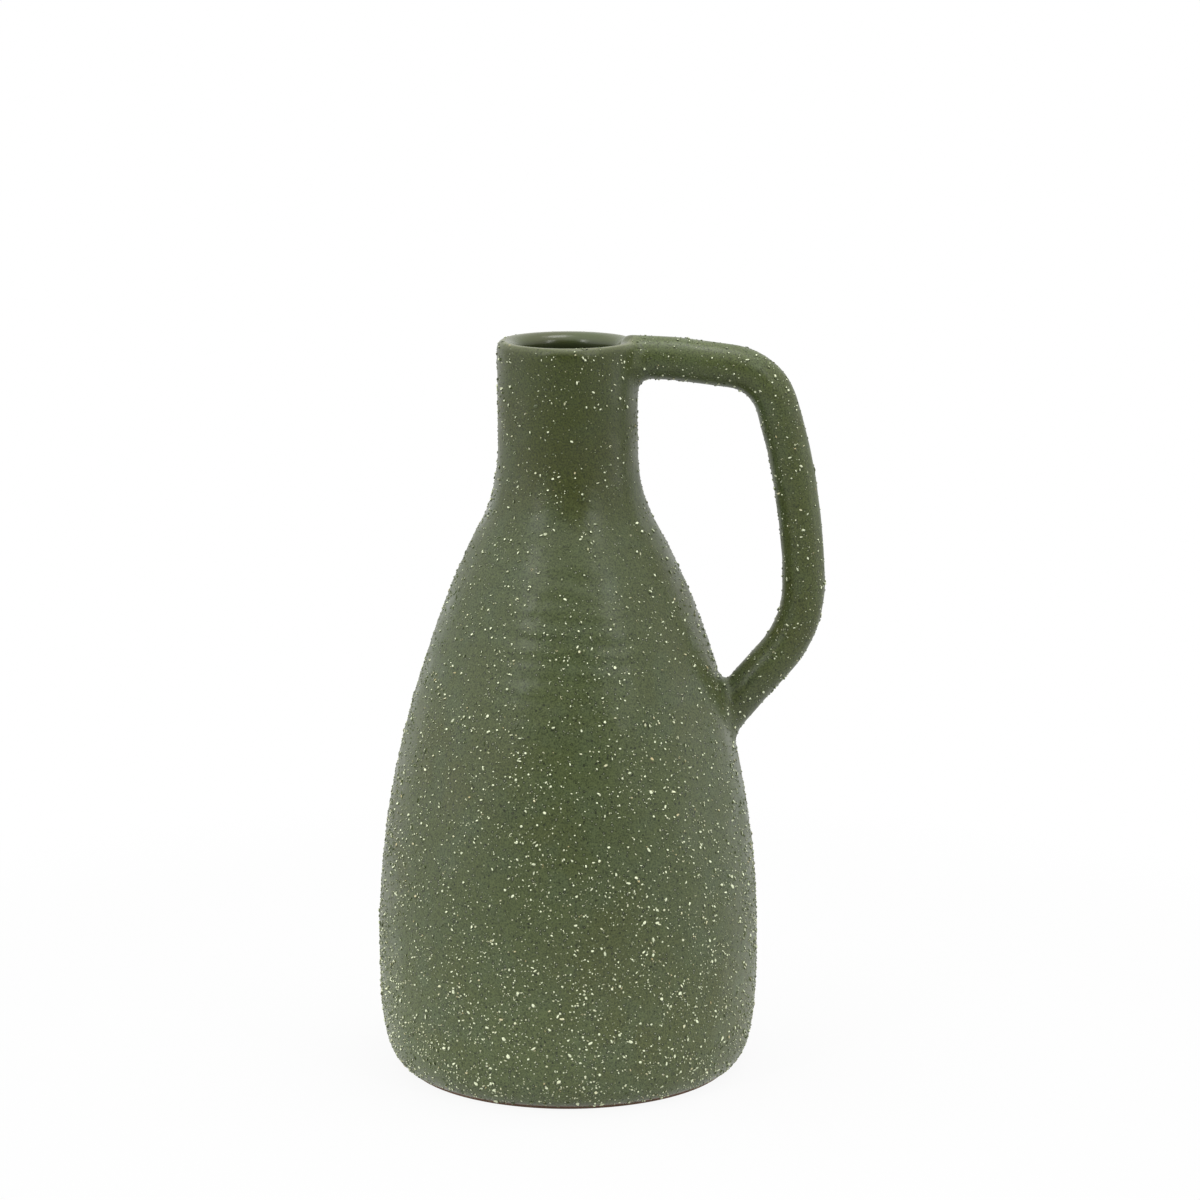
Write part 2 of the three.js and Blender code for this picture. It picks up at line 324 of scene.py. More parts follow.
def inset(outline, depth):
    """An outline moved inwards, square to itself."""
    along = np.gradient(outline, axis=0)
    along /= np.linalg.norm(along, axis=1)[:, None]
    return outline + depth * np.column_stack([-along[:, 1], along[:, 0]])


def inner_outline(s, taken):
    """The inside, from the middle of the floor up to the crest, behind so much of the lining."""
    depth = s.wall - taken
    heel_size = s.inner_heel + taken
    heel_height = s.floor_height + s.lining + s.inner_heel
    side = inset(np.array(side_outline(s)), s.wall)
    heel_reach = np.interp(heel_height, side[:, 1], side[:, 0]) - s.inner_heel
    heel = quarter_round((heel_reach, heel_height), heel_size, -heel_size, HEEL_ROUND_STEPS)
    wall = [tuple(p) for p in inset(np.array(side_outline(s)), depth) if p[1] > heel_height]
    lip = (s.crest_radius, s.rim_height - s.lip_inner_drop)
    reach = s.neck_radius - depth - s.crest_radius
    rise = s.lip_inner_drop - taken / s.lining * s.glaze
    above_lip = [p for p in wall if p[1] < lip[1] - RING_STEP / 2]
    floor = np.linspace(0, heel_reach, round(heel_reach / FLOOR_STEP) + 1)[:-1]
    return np.array(
        [
            *((r, heel_height - heel_size) for r in floor),
            *reversed(heel),
            *above_lip,
            *quarter_round(lip, reach, rise, INNER_LIP_STEPS),
        ]
    )


# The handle's route


def rod_route(body, handle):
    """Places on the rod's centre line an even step apart, from the neck to the belly."""
    outline = outer_outline(body)
    root_radius = np.interp(handle.lower_root, outline[1:, 1], outline[1:, 0])
    lower = np.array([root_radius, handle.lower_root])
    upper = np.array([body.crest_radius, body.rim_height - handle.root_drop])
    bar, corner = (
        np.array([body.neck_radius + place[0], body.rim_height - place[1]])
        for place in (handle.bar_bend, handle.corner)
    )
    knee = lower + np.array(handle.knee[:2])
    grip = knee - corner
    outwards = np.array([-grip[1], grip[0]]) / np.linalg.norm(grip)
    bow = (corner + knee) / 2 + outwards * handle.grip_bulge
    places = [upper, bar, corner, bow, knee, lower]
    radii = [handle.bar_bend[2], handle.corner[2], handle.grip_radius, handle.knee[2]]
    points = [upper]
    for i, radius in enumerate(radii, start=1):
        points.extend(bend_points(places[i - 1], places[i], places[i + 1], radius))
    points.append(lower)
    points = np.array(points)
    run = np.concatenate([[0], np.cumsum(np.linalg.norm(np.diff(points, axis=0), axis=1))])
    even = np.linspace(0, run[-1], round(run[-1] / ROD_STEP) + 1)
    return np.column_stack([np.interp(even, run, points[:, 0]), np.interp(even, run, points[:, 1])])


def bend_points(before, corner, after, radius):
    """Points on the arc that rounds a corner."""
    incoming = (corner - before) / np.linalg.norm(corner - before)
    outgoing = (after - corner) / np.linalg.norm(after - corner)
    turn = math.atan2(
        incoming[0] * outgoing[1] - incoming[1] * outgoing[0], float(incoming @ outgoing)
    )
    start = corner - incoming * radius * math.tan(abs(turn) / 2)
    side = np.array([-incoming[1], incoming[0]]) * math.copysign(radius, turn)
    centre = start + side
    points = []
    for angle in np.linspace(0, turn, max(2, round(radius * abs(turn) / BEND_STEP))):
        cos, sin = math.cos(angle), math.sin(angle)
        spoke = -side
        points.append(centre + [cos * spoke[0] - sin * spoke[1], sin * spoke[0] + cos * spoke[1]])
    return points


# The glaze's face as the place where a distance is nothing


def distance_to_line(points, line):
    """How far points are from a line of straight stretches."""
    nearest = np.full(len(points), np.inf)
    for start, end in zip(line[:-1], line[1:]):
        along = end - start
        share_along = np.clip((points - start) @ along / (along @ along), 0, 1)
        gap = points - start - share_along[:, None] * along
        nearest = np.minimum(nearest, np.linalg.norm(gap, axis=1))
    return nearest


class GlazeField:
    """Distance from the glaze's outer face, with the joints' fillets, of points near it."""

    def __init__(self, body, handle):
        self.body = body
        self.handle = handle
        self.outline = outer_outline(body)[1:]
        self.closed_outline = np.vstack([self.outline, [0, body.rim_height]])
        route = rod_route(body, handle)
        self.route = np.column_stack([route[:, 0], np.zeros(len(route)), route[:, 1]])

    def from_rod(self, points):
        """Distance from the rod's skin."""
        return distance_to_line(points, self.route) - self.handle.rod_radius

    def from_body(self, points):
        """Distance from the body's face, less than nothing inside it."""
        radius = np.hypot(points[:, 0], points[:, 1])
        height = points[:, 2]
        flat = np.column_stack([radius, height])
        reach = np.interp(height, self.outline[:, 1], self.outline[:, 0])
        inside = (radius < reach) & (height < self.body.rim_height)
        return distance_to_line(flat, self.closed_outline) * np.where(inside, -1, 1)

    def __call__(self, points):
        """Distance from the face, which is rounded where rod and body meet."""
        rod = self.from_rod(points)
        body = self.from_body(points)
        under_lip = self.body.rim_height - self.body.lip_outer_drop - points[:, 2]
        fillet = np.clip(under_lip, self.handle.rim_fillet, self.handle.fillet)
        corner = np.hypot(np.maximum(fillet - rod, 0), np.maximum(fillet - body, 0))
        return np.maximum(fillet, np.minimum(rod, body)) - corner

    def drawn_on(self, points):
        """Points moved square to the face until they lie on it."""
        for _ in range(PROJECT_ROUNDS):
            here = self(points)
            slope = np.column_stack([self(points + NUDGE * axis) - here for axis in np.eye(3)])
            slope /= NUDGE
            steep = np.maximum((slope**2).sum(axis=1), LEAST_SLOPE)
            points = points - slope * (here / steep)[:, None]
        return points


def crest_lift(field):
    """How far each place of the crest is raised by the handle that runs into it."""
    angles = np.arange(SIDES) / SIDES * 2 * math.pi
    radius = field.body.crest_radius
    crest = np.column_stack(
        [radius * np.cos(angles), radius * np.sin(angles), np.full(SIDES, field.body.rim_height)]
    )
    return field.drawn_on(crest)[:, 2] - field.body.rim_height


def smooth_step(values):
    """Nothing below 0 and all above 1, with a soft turn at both."""
    held = np.clip(values, 0, 1)
    return held * held * (3 - 2 * held)


# How the shape strays from its outline, and where on its height
LEVEL_FOOT = 12 * MM
SWAY_WAVE = 90 * MM
SWAY_STRETCH = 0.7
SWAY_UPWARD = 0.4
PULL_HEIGHT = 148 * MM
PULL_SPREAD = 26 * MM
RIDGES_HEIGHT = 150 * MM
RIDGES_SPREAD = 45 * MM
RIDGES_PATCH = 25 * MM
RIDGES_TILT = (0.08, 0.05)
RIDGES_WANDER = 2.5
RIDGES_LEAST = 0.6
HANDLE_HELD = 10 * MM


def bell(value, middle, spread):
    """1 at the middle, and less and less away from it."""
    return math.exp(-(((value - middle) / spread) ** 2))


def swayed(place, look, ringed, near_body):
    """A place on the vase moved a little, as hands and the kiln leave it.

    The rings and the pull of the shoulder fade away from the body, so the handle's glaze
    stays over its clay.
    """
    free = float(smooth_step(place.z / LEVEL_FOOT))
    away = noise.noise_vector(Vector((place.x, place.y, place.z * SWAY_STRETCH)) / SWAY_WAVE)
    moved = place + Vector((away.x, away.y, away.z * SWAY_UPWARD)) * look.sway * free
    moved.x += look.pull * near_body * bell(place.z, PULL_HEIGHT, PULL_SPREAD)
    radius = math.hypot(place.x, place.y)
    if ringed and radius > 0:
        uneven = noise.noise(place / RIDGES_PATCH)
        tilt = RIDGES_TILT[0] * place.x + RIDGES_TILT[1] * place.y
        turn = 2 * math.pi * (place.z + tilt) / look.ridge_pitch + RIDGES_WANDER * uneven
        lift = look.ridge * near_body * bell(place.z, RIDGES_HEIGHT, RIDGES_SPREAD)
        lift *= math.sin(turn)
        lift *= RIDGES_LEAST + uneven
        lift += look.lump * free * noise.noise(place / look.lump_wave)
        moved += Vector((place.x, place.y, 0)) / radius * lift
    return moved


# Meshes


def ring_verts(bm, radius, heights):
    """A level ring of vertices, or the one at the middle of it."""
    if radius < NO_RADIUS:
        return [bm.verts.new((0, 0, heights[0]))]
    angles = (2 * math.pi * side / SIDES for side in range(SIDES))
    return [
        bm.verts.new((radius * math.cos(a), radius * math.sin(a), z))
        for a, z in zip(angles, heights)
    ]


def join_rings(bm, low, high):
    """Faces between two rings, which point outwards where the second is above the first."""
    count = max(len(low), len(high))
    for side in range(count):
        after = (side + 1) % count
        corners = [low[side % len(low)], low[after % len(low)]]
        corners += [high[after % len(high)], high[side % len(high)]]
        bm.faces.new(list(dict.fromkeys(corners)))


def turned_sheet(outline, lift=None, lift_depth=1.0):
    """An outline turned round the axis. Near the crest its height follows the lift."""
    bm = bmesh.new()
    top = outline[:, 1].max()
    lift = np.zeros(SIDES) if lift is None else lift
    fades = 1 - smooth_step((top - outline[:, 1]) / lift_depth)
    rings = [
        ring_verts(bm, radius, height + lift * fade)
        for (radius, height), fade in zip(outline, fades)
    ]
    for low, high in zip(rings, rings[1:]):
        join_rings(bm, low, high)
    return bm


def rod_sheet(bm, route, radius):
    """The rod's skin between its two ends, as rings round its route."""
    along = np.gradient(route, axis=0)
    along /= np.linalg.norm(along, axis=1)[:, None]
    angles = np.arange(ROD_SIDES) / ROD_SIDES * 2 * math.pi
    rings = []
    for (x, z), (dx, dz) in zip(route, along):
        out = radius * np.cos(angles)
        places = zip(x - dz * out, radius * np.sin(angles), z + dx * out)
        rings.append([bm.verts.new(place) for place in places])
    for first, second in zip(rings, rings[1:]):
        join_rings(bm, second, first)
    return rings


def open_patch(bm, angle, low, high):
    """Takes the body's faces away where the handle joins it, and returns the hole's edges."""
    doomed = []
    for face in bm.faces:
        middle = face.calc_center_median()
        if abs(math.atan2(middle.y, middle.x)) < angle and low < middle.z < high:
            doomed.append(face)
    rims = dict.fromkeys(edge for face in doomed for edge in face.edges)
    gone = set(doomed)
    kept = [edge for edge in rims if not all(face in gone for face in edge.link_faces)]
    bmesh.ops.delete(bm, geom=doomed, context="FACES")
    return kept


def ring_edges(bm, ring):
    """The edges round a ring, the closing one included."""
    pairs = zip(ring, ring[1:] + ring[:1])
    return [bm.edges.get(pair) or bm.edges.new(pair) for pair in pairs]


# Room left round the joints
JOINT_MARGIN = 1.5 * MM
LOWER_JOINT_STRETCH = 1.25
ROD_CLEARANCE = 2.5 * MM


def glaze_sheet(body, handle, field):
    """The outer face of the glaze over body, handle and joints, open at the foot and the crest."""
    outline = outer_outline(body)
    bm = turned_sheet(outline)
    margin = handle.rod_radius + handle.fillet + JOINT_MARGIN
    route = rod_route(body, handle)
    upper_height = body.rim_height - handle.root_drop
    below_crest = (outline[-1, 1] + outline[-2, 1]) / 2
    upper_hole = open_patch(bm, margin / body.neck_radius, upper_height - margin, below_crest)
    reach = LOWER_JOINT_STRETCH * margin
    low, high = handle.lower_root - reach, handle.lower_root + reach
    lower_hole = open_patch(bm, margin / route[-1, 0], low, high)
    clear = field.from_body(field.route) > handle.fillet + ROD_CLEARANCE
    first = int(np.argmax(clear))
    last = len(clear) - int(np.argmax(clear[::-1]))
    rings = rod_sheet(bm, route[first:last], handle.rod_radius)
    upper = bmesh.ops.bridge_loops(bm, edges=upper_hole + ring_edges(bm, rings[0]))
    lower = bmesh.ops.bridge_loops(bm, edges=lower_hole + ring_edges(bm, rings[-1]))
    smooth_bridges(bm, upper["edges"] + lower["edges"], field)
    lift_crest(bm, field)
    bmesh.ops.recalc_face_normals(bm, faces=bm.faces[:])
    return bm


def smooth_bridges(bm, across, field):
    """Divides the faces between body and rod and draws them on to the fillets."""
    split = bmesh.ops.subdivide_edges(bm, edges=across, cuts=BRIDGE_RINGS, use_grid_fill=True)
    near = {v for v in split["geom_inner"] if isinstance(v, bmesh.types.BMVert)}
    for _ in range(SMOOTHED_ROWS):
        near |= {e.other_vert(v) for v in near for e in v.link_edges}
    near = [v for v in near if not v.is_boundary]
    for _ in range(RELAX_ROUNDS):
        bmesh.ops.smooth_vert(
            bm, verts=near, factor=RELAX_SHARE, use_axis_x=True, use_axis_y=True, use_axis_z=True
        )
        places = field.drawn_on(np.array([v.co for v in near]))
        for vert, place in zip(near, places):
            vert.co = place


def lift_crest(bm, field):
    """Raises the crest beside the handle."""
    lift = crest_lift(field)
    for vert in bm.verts:
        if vert.is_boundary and vert.co.z > field.body.rim_height / 2:
            side = round(math.atan2(vert.co.y, vert.co.x) / (2 * math.pi) * SIDES)
            vert.co.z = field.body.rim_height + lift[side % SIDES]


def placed(name, data):
    """A new object in the scene."""
    made = bpy.data.objects.new(name, data)
    bpy.context.scene.collection.objects.link(made)
    return made


def finished(name, bm, look, field=None):
    """Sways the mesh a little and makes an object of it. The coat's field gives it its rings."""
    noise.seed_set(look.sway_seed)
    ringed = field is not None
    places = np.array([vert.co for vert in bm.verts])
    off_body = field.from_body(places) if ringed else np.zeros(len(places))
    near_body = 1 - smooth_step(off_body / HANDLE_HELD)
    for vert, share_left in zip(bm.verts, near_body):
        vert.co = swayed(vert.co, look, ringed, float(share_left))
    mesh = bpy.data.meshes.new(name)
    bm.to_mesh(mesh)
    bm.free()
    mesh.shade_smooth()
    return placed(name, mesh)


def take_result(piece):
    """Gives a piece the mesh that its modifiers make, as a plain one."""
    depsgraph = bpy.context.evaluated_depsgraph_get()
    mesh = bpy.data.meshes.new_from_object(piece.evaluated_get(depsgraph))
    piece.modifiers.clear()
    piece.data = mesh


def thickened(piece, thickness):
    """Gives a sheet its thickness, inwards from its face."""
    modifier = piece.modifiers.new("thickness", "SOLIDIFY")
    modifier.thickness = thickness
    modifier.offset = -1
    sheet = piece.data
    take_result(piece)
    bpy.data.meshes.remove(sheet)
    piece.data.name = piece.name


# Node trees


def sum_of(operation, swapped=False):
    """A method that puts a wire and another value through a Math node."""

    def method(wire, other):
        first, second = (other, wire) if swapped else (wire, other)
        return wire.nodes.add("ShaderNodeMath", {0: first, 1: second}, operation=operation)["Value"]

    return method


class Wire:
    """The output of a node, which can stand in sums."""

    def __init__(self, nodes, socket):
        self.nodes = nodes
        self.socket = socket

    __add__, __radd__ = sum_of("ADD"), sum_of("ADD", swapped=True)
    __sub__, __rsub__ = sum_of("SUBTRACT"), sum_of("SUBTRACT", swapped=True)
    __mul__, __rmul__ = sum_of("MULTIPLY"), sum_of("MULTIPLY", swapped=True)
    __truediv__, __rtruediv__ = sum_of("DIVIDE"), sum_of("DIVIDE", swapped=True)
    __pow__, __rpow__ = sum_of("POWER"), sum_of("POWER", swapped=True)


class Made:
    """A node that was added, whose outputs are had by name or number."""

    def __init__(self, nodes, node):
        self.nodes = nodes
        self.node = node

    def __getitem__(self, output):
        return Wire(self.nodes, self.node.outputs[output])


class Pattern(NamedTuple):
    """Patches of soft noise, which start at one value of it and are full at another.

    The strength is how much of the colour below they hide, and the shade how light their own is.
    """

    width: float
    detail: float
    edge: float
    full: float
    strength: float = 1.0
    shade: float = 1.0
    roughness: float = 0.5


class Relief(NamedTuple):
    """Soft noise that stands out of a surface, too fine for its mesh."""

    width: float
    detail: float
    height: float
    roughness: float = 0.5


class Nodes:
    """Adds nodes to a tree."""

    def __init__(self, tree):
        self.tree = tree

    def add(self, kind, sockets=None, **settings):
        """A node of a kind, with its settings, and the values or links of its sockets."""
        node = self.tree.nodes.new(kind)
        for name, value in settings.items():
            setattr(node, name, value)
        for key, value in (sockets or {}).items():
            if isinstance(value, Wire):
                self.tree.links.new(value.socket, node.inputs[key])
            else:
                node.inputs[key].default_value = value
        return Made(self, node)

    def noise(self, place, width, detail, roughness=0.5):
        """Soft noise from 0 to 1, with features of a width in metres."""
        sockets = {"Vector": place, "Scale": 1 / width, "Detail": detail, "Roughness": roughness}
        return self.add("ShaderNodeTexNoise", sockets)["Fac"]

    def between(self, value, low, high):
        """0 below a low value and 1 above a high one, with a soft turn at both."""
        sockets = {"Value": value, "From Min": low, "From Max": high}
        return self.add("ShaderNodeMapRange", sockets, interpolation_type="SMOOTHSTEP")["Result"]

    def patches(self, place, pattern):
        """How strong a pattern is at a place."""
        soft = self.noise(place, pattern.width, pattern.detail, pattern.roughness)
        shown = self.between(soft, pattern.edge, pattern.full)
        return shown if pattern.strength == 1 else shown * pattern.strength

    def mix(self, factor, first, second):
        """The first colour, or the second where the factor is 1."""
        first, second = (c if isinstance(c, Wire) else (*c, 1) for c in (first, second))
        return self.add("ShaderNodeMix", {"Factor": factor, 6: first, 7: second}, data_type="RGBA")[2]

    def vector(self, x, y, z):
        """A vector of three numbers."""
        return self.add("ShaderNodeCombineXYZ", {"X": x, "Y": y, "Z": z})["Vector"]

    def upward(self, vector):
        """The upward part of a vector."""
        return self.add("ShaderNodeSeparateXYZ", {0: vector})["Z"]


class Material(Nodes):
    """A material with one Principled shader, whose patterns follow the piece."""

    def __init__(self, name):
        self.material = bpy.data.materials.new(name)
        self.material.use_nodes = True
        super().__init__(self.material.node_tree)
        self.tree.nodes.clear()
        self.place = self.add("ShaderNodeTexCoord")["Object"]
        sides = self.add("ShaderNodeSeparateXYZ", {0: self.place})
        self.x, self.y, self.z = (sides[axis] for axis in "XYZ")

    def from_axis(self):
        """How far a place is from the vase's axis."""
        return (self.x * self.x + self.y * self.y) ** 0.5

    def stored(self, name):
        """The number that the mesh keeps under a name."""
        return self.add("ShaderNodeAttribute", attribute_name=name)["Fac"]

    def layered(self, base, *layers):
        """A colour with patterns over it, each in a shade of its own colour."""
        for pattern, colour in layers:
            base = self.mix(self.patches(self.place, pattern), base, shaded(colour, pattern.shade))
        return base

    def reliefs(self, *kinds):
        """The height of each relief from 0 to 1, and how far it stands out."""
        return [(self.noise(self.place, k.width, k.detail, k.roughness), k.height) for k in kinds]

    def finish(self, sockets, bumps=()):
        """Adds the shader. Each bump is a height and how far it stands out, in metres."""
        normal = {}
        for height, distance in bumps:
            bump = {"Height": height, "Distance": distance, "Strength": 1.0, **normal}
            normal = {"Normal": self.add("ShaderNodeBump", bump)["Normal"]}
        shader = self.add("ShaderNodeBsdfPrincipled", {**sockets, **normal})["BSDF"]
        self.add("ShaderNodeOutputMaterial", {"Surface": shader})
        return self.material


def shaded(colour, factor):
    """A colour made darker or lighter."""
    return tuple(min(1, factor * c) for c in colour)


def blended(first, first_share, second, second_share):
    """So much of one colour and so much of another."""
    return tuple(first_share * f + second_share * s for f, s in zip(first, second))


# Patches in the outer glaze
OLIVE_PATCHES = Pattern(60 * MM, 3, 0.42, 0.68)
STONY_PATCHES = Pattern(26 * MM, 2, 0.60, 0.74, strength=0.55)
SMALL_STONY_PATCHES = Pattern(11 * MM, 2, 0.44, 0.70, strength=0.5)
MOTTLE = Pattern(2.2 * MM, 4, 0.48, 0.75, strength=0.55, shade=0.80, roughness=0.6)
DARK_DOTS = Pattern(0.55 * MM, 2, 0.50, 0.66, shade=0.50, roughness=0.6)
PALE_DOTS = Pattern(0.55 * MM, 2, 0.50, 0.34, strength=0.6, shade=1.5, roughness=0.6)

# Specks under the glaze, in parts of their pitch, and the rings of painted shade round them
SPECK_PITCH = 1.3 * MM
SPECK_CHANCE = (0.45, 1.0)
SPECK_SIZE = 0.26
SPECK_EDGE = 0.1
SPECK_STRENGTH = 0.6
SPECK_SHADE = 0.42
PAINTED_RING_WIDTH = 0.20
PAINTED_RING_SHADE = 0.22
PAINTED_RINGS_HIGH = 0.35
PAINTED_RINGS_LOW = 0.95
PAINTED_RINGS_CHANGE = (120 * MM, 210 * MM)

# Heights where the glaze's tone changes, partly painted shade, and the leaning line beyond which the
# handle starts
TONE_RISE = (-30 * MM, 245 * MM)
BELLY_START = (20 * MM, 65 * MM)
BELLY_END = (80 * MM, 135 * MM)
# The darker band on the belly is painted shade
BELLY_PAINTED_SHADE = 0.10
NECK_START = (180 * MM, 225 * MM)
HANDLE_LINE = (33 * MM, 215 * MM)
HANDLE_LEAN = 0.42
HANDLE_EDGE = (-2 * MM, 4 * MM)
HANDLE_TONE = 0.98

# How far from the crest and the foot the glaze is thin, and how thin; at the crest and lip this is
# also a painted highlight
CREST_EDGE = (0.2 * MM, 1.2 * MM)
CREST_THIN_AND_HIGHLIGHT = 0.34
LIP_EDGE = (1.2 * MM, 3.4 * MM)
LIP_THIN_AND_HIGHLIGHT = 0.18
FOOT_EDGE = (0.2 * MM, 1.0 * MM)
THIN_FOOT = 0.8
FOOT_SHADE = 0.7

# Gloss and relief of the outer glaze
STONY_GLOSS = 0.182
GLOSS_WIDTH = 12 * MM
GLOSS_DETAIL = 3
GLOSS_SPREAD = 0.30
OUTER_IOR = 1.42
OUTER_RELIEFS = (
    Relief(14 * MM, 2, 0.5 * MM),
    Relief(3.0 * MM, 3, 0.12 * MM, roughness=0.55),
    Relief(0.7 * MM, 2, 0.02 * MM),
)


def outer_glaze_material(body, look):
    """Satin green glaze: mottled, olive where thick, stony in places, full of tiny specks."""
    m = Material("outer_glaze")
    base = m.layered(
        look.moss,
        (OLIVE_PATCHES, look.olive),
        (STONY_PATCHES, look.sage),
        (SMALL_STONY_PATCHES, look.sage),
        (MOTTLE, look.moss),
        (DARK_DOTS, look.moss),
        (PALE_DOTS, look.moss),
    )
    core, ring = fine_specks(m)
    # Painted shade round the specks, stronger low down
    painted_ring_strength = PAINTED_RINGS_LOW - (PAINTED_RINGS_LOW - PAINTED_RINGS_HIGH) * m.between(m.z, *PAINTED_RINGS_CHANGE)
    base = m.mix(ring * painted_ring_strength, base, shaded(look.moss, PAINTED_RING_SHADE))
    base = m.mix(core * SPECK_STRENGTH, base, shaded(look.cream, SPECK_SHADE))
    tone, blue = body_tone(m, look)
    toned = {0: base, 1: m.vector(tone, tone, tone * blue)}
    base = m.add("ShaderNodeVectorMath", toned, operation="MULTIPLY")["Vector"]
    crest_gap = crest_distance(m, body)
    # Painted highlight along the crest and the lip, where the glaze also runs thin
    crest_thin_and_highlight = CREST_THIN_AND_HIGHLIGHT * (1 - m.between(crest_gap, *CREST_EDGE))
    lip_thin_and_highlight = LIP_THIN_AND_HIGHLIGHT * (1 - m.between(crest_gap, *LIP_EDGE))
    base = m.mix(crest_thin_and_highlight + lip_thin_and_highlight, base, look.thin_and_painted_light)
    thin_foot = THIN_FOOT * (1 - m.between(m.z - body.bare_foot, *FOOT_EDGE))
    base = m.mix(thin_foot, base, shaded(look.clay, FOOT_SHADE))
    uneven = m.noise(m.place, GLOSS_WIDTH, GLOSS_DETAIL) - 0.5
    stony = m.patches(m.place, STONY_PATCHES)
    roughness = look.roughness - STONY_GLOSS * stony + GLOSS_SPREAD * uneven
    sockets = {"Base Color": base, "Roughness": roughness, "IOR": OUTER_IOR}
    return m.finish(sockets, m.reliefs(*OUTER_RELIEFS))


def fine_specks(m):
    """Fine sand just under the glaze: dim specks, and rings of painted shade round them."""
    cells = m.add("ShaderNodeTexVoronoi", {"Vector": m.place, "Scale": 1 / SPECK_PITCH})
    chance = m.add("ShaderNodeSeparateColor", {0: cells["Color"]})["Red"]
    picked = m.between(chance, *SPECK_CHANCE)
    depth = picked * SPECK_SIZE - cells["Distance"]
    core = m.between(depth, 0.0, SPECK_EDGE) * chance
    ring = m.between(depth + PAINTED_RING_WIDTH, 0.0, SPECK_EDGE) * (1 - core) * picked
    return core, ring


def body_tone(m, look):
    """How light the glaze is, and how much of its blue is left.

    It is lightest at the foot and dark on the neck: partly the glaze's own tone, partly painted shade
    high up, where little light comes back from the floor. The band a little darker on the belly is
    painted shade. The handle is even, and starts beyond a line that leans with the shoulder.
    """
    rise = m.between(m.z, *TONE_RISE)
    tone = look.foot_tone - (look.foot_tone - look.shoulder_tone) * rise
    tone = tone - BELLY_PAINTED_SHADE * m.between(m.z, *BELLY_START) * (1 - m.between(m.z, *BELLY_END))
    on_neck = m.between(m.z, *NECK_START)
    tone = tone - (look.shoulder_tone - look.neck_tone) * on_neck
    line = HANDLE_LINE[0] + (HANDLE_LINE[1] - m.z) * HANDLE_LEAN
    on_handle = m.between(m.x - line, *HANDLE_EDGE)
    blue = 1 - (1 - look.neck_blue) * on_neck
    blue = blue + (look.handle_blue - blue) * on_handle
    return tone + (HANDLE_TONE - tone) * on_handle, blue


def crest_distance(m, body):
    """How far a place is from the circle of the lip's crest."""
    out = m.from_axis() - body.crest_radius
    up = m.z - body.rim_height
    return (out * out + up * up) ** 0.5


# The lining
LINING_CLOUD = Pattern(18 * MM, 3, 0.35, 0.7)
LINING_PAINTED_SHADE = 0.25
THROAT_SHADE_START = (0.5, 1.4)
LINING_CREST_THIN_AND_HIGHLIGHT = 0.5
CREST_ROUGHER = 0.12
LINING_IOR = 1.5
LINING_RELIEF = Relief(5 * MM, 2, 0.1 * MM)


def lining_material(body, look):
    """Smooth, shiny green glaze, with painted shade a little all over it and full down in the neck.
    """
    m = Material("lining_glaze")
    base = m.layered(look.olive, (LINING_CLOUD, look.moss))
    # Painted shade: a little over all the lining, and full from a little below the crest down the
    # neck
    base = m.mix(LINING_PAINTED_SHADE, base, look.throat_and_painted_shade)
    depth = (body.rim_height - m.z) / body.lip_inner_drop
    base = m.mix(m.between(depth, *THROAT_SHADE_START), base, look.throat_and_painted_shade)
    # Painted highlight along the crest, where the glaze also runs thin; the crest is rougher there
    # too
    crest_thin_and_highlight = 1 - m.between(crest_distance(m, body), *CREST_EDGE)
    base = m.mix(crest_thin_and_highlight * LINING_CREST_THIN_AND_HIGHLIGHT, base, look.thin_and_painted_light)
    roughness = look.lining_roughness + CREST_ROUGHER * crest_thin_and_highlight
    sockets = {"Base Color": base, "Roughness": roughness, "IOR": LINING_IOR}
    return m.finish(sockets, m.reliefs(LINING_RELIEF))


# The clay and the slip
CLAY_SHADE = 0.8
CLAY_CLOUD = Pattern(25 * MM, 4, 0.3, 0.7)
GROG = Pattern(0.8 * MM, 2, 0.62, 0.70, strength=0.6, shade=2.0)
TRIMMING_RINGS = Relief(1.6 * MM, 2, 0.15 * MM)
WANDER = Relief(30 * MM, 2, 1.5 * MM)
CLAY_RELIEF = Relief(0.5 * MM, 2, 0.05 * MM)
CLAY_ROUGHNESS = 0.85


def clay_material(name, tone):
    """Fired clay: matt, with fine grog and faint rings from trimming."""
    m = Material(name)
    base = m.layered(shaded(tone, CLAY_SHADE), (CLAY_CLOUD, tone), (GROG, tone))
    wander = m.noise(m.place, WANDER.width, WANDER.detail) * WANDER.height
    out = m.vector(m.from_axis() + wander, 0.0, 0.0)
    rings = m.noise(out, TRIMMING_RINGS.width, TRIMMING_RINGS.detail)
    bumps = [(rings, TRIMMING_RINGS.height), *m.reliefs(CLAY_RELIEF)]
    return m.finish({"Base Color": base, "Roughness": CLAY_ROUGHNESS}, bumps)


# The grains: how near its tip each is bare, and where the glaze over it is pooled or thin, shown with
# painted shade low and painted light high
BARE_DIM_GRAIN = 0.895
BARE_LIGHT_GRAIN = 0.775
BARE_EDGE = 0.07
PAINTED_SHADE_TO_LIGHT = (0.34, 0.70)
SKIN_ROUGHNESS = 0.36
BARE_ROUGHER = 0.2
GRAIN_RELIEF = Relief(0.3 * MM, 2, 0.03 * MM)
COVERED_DIM = 0.75
COVERED_LIGHT = 1.35


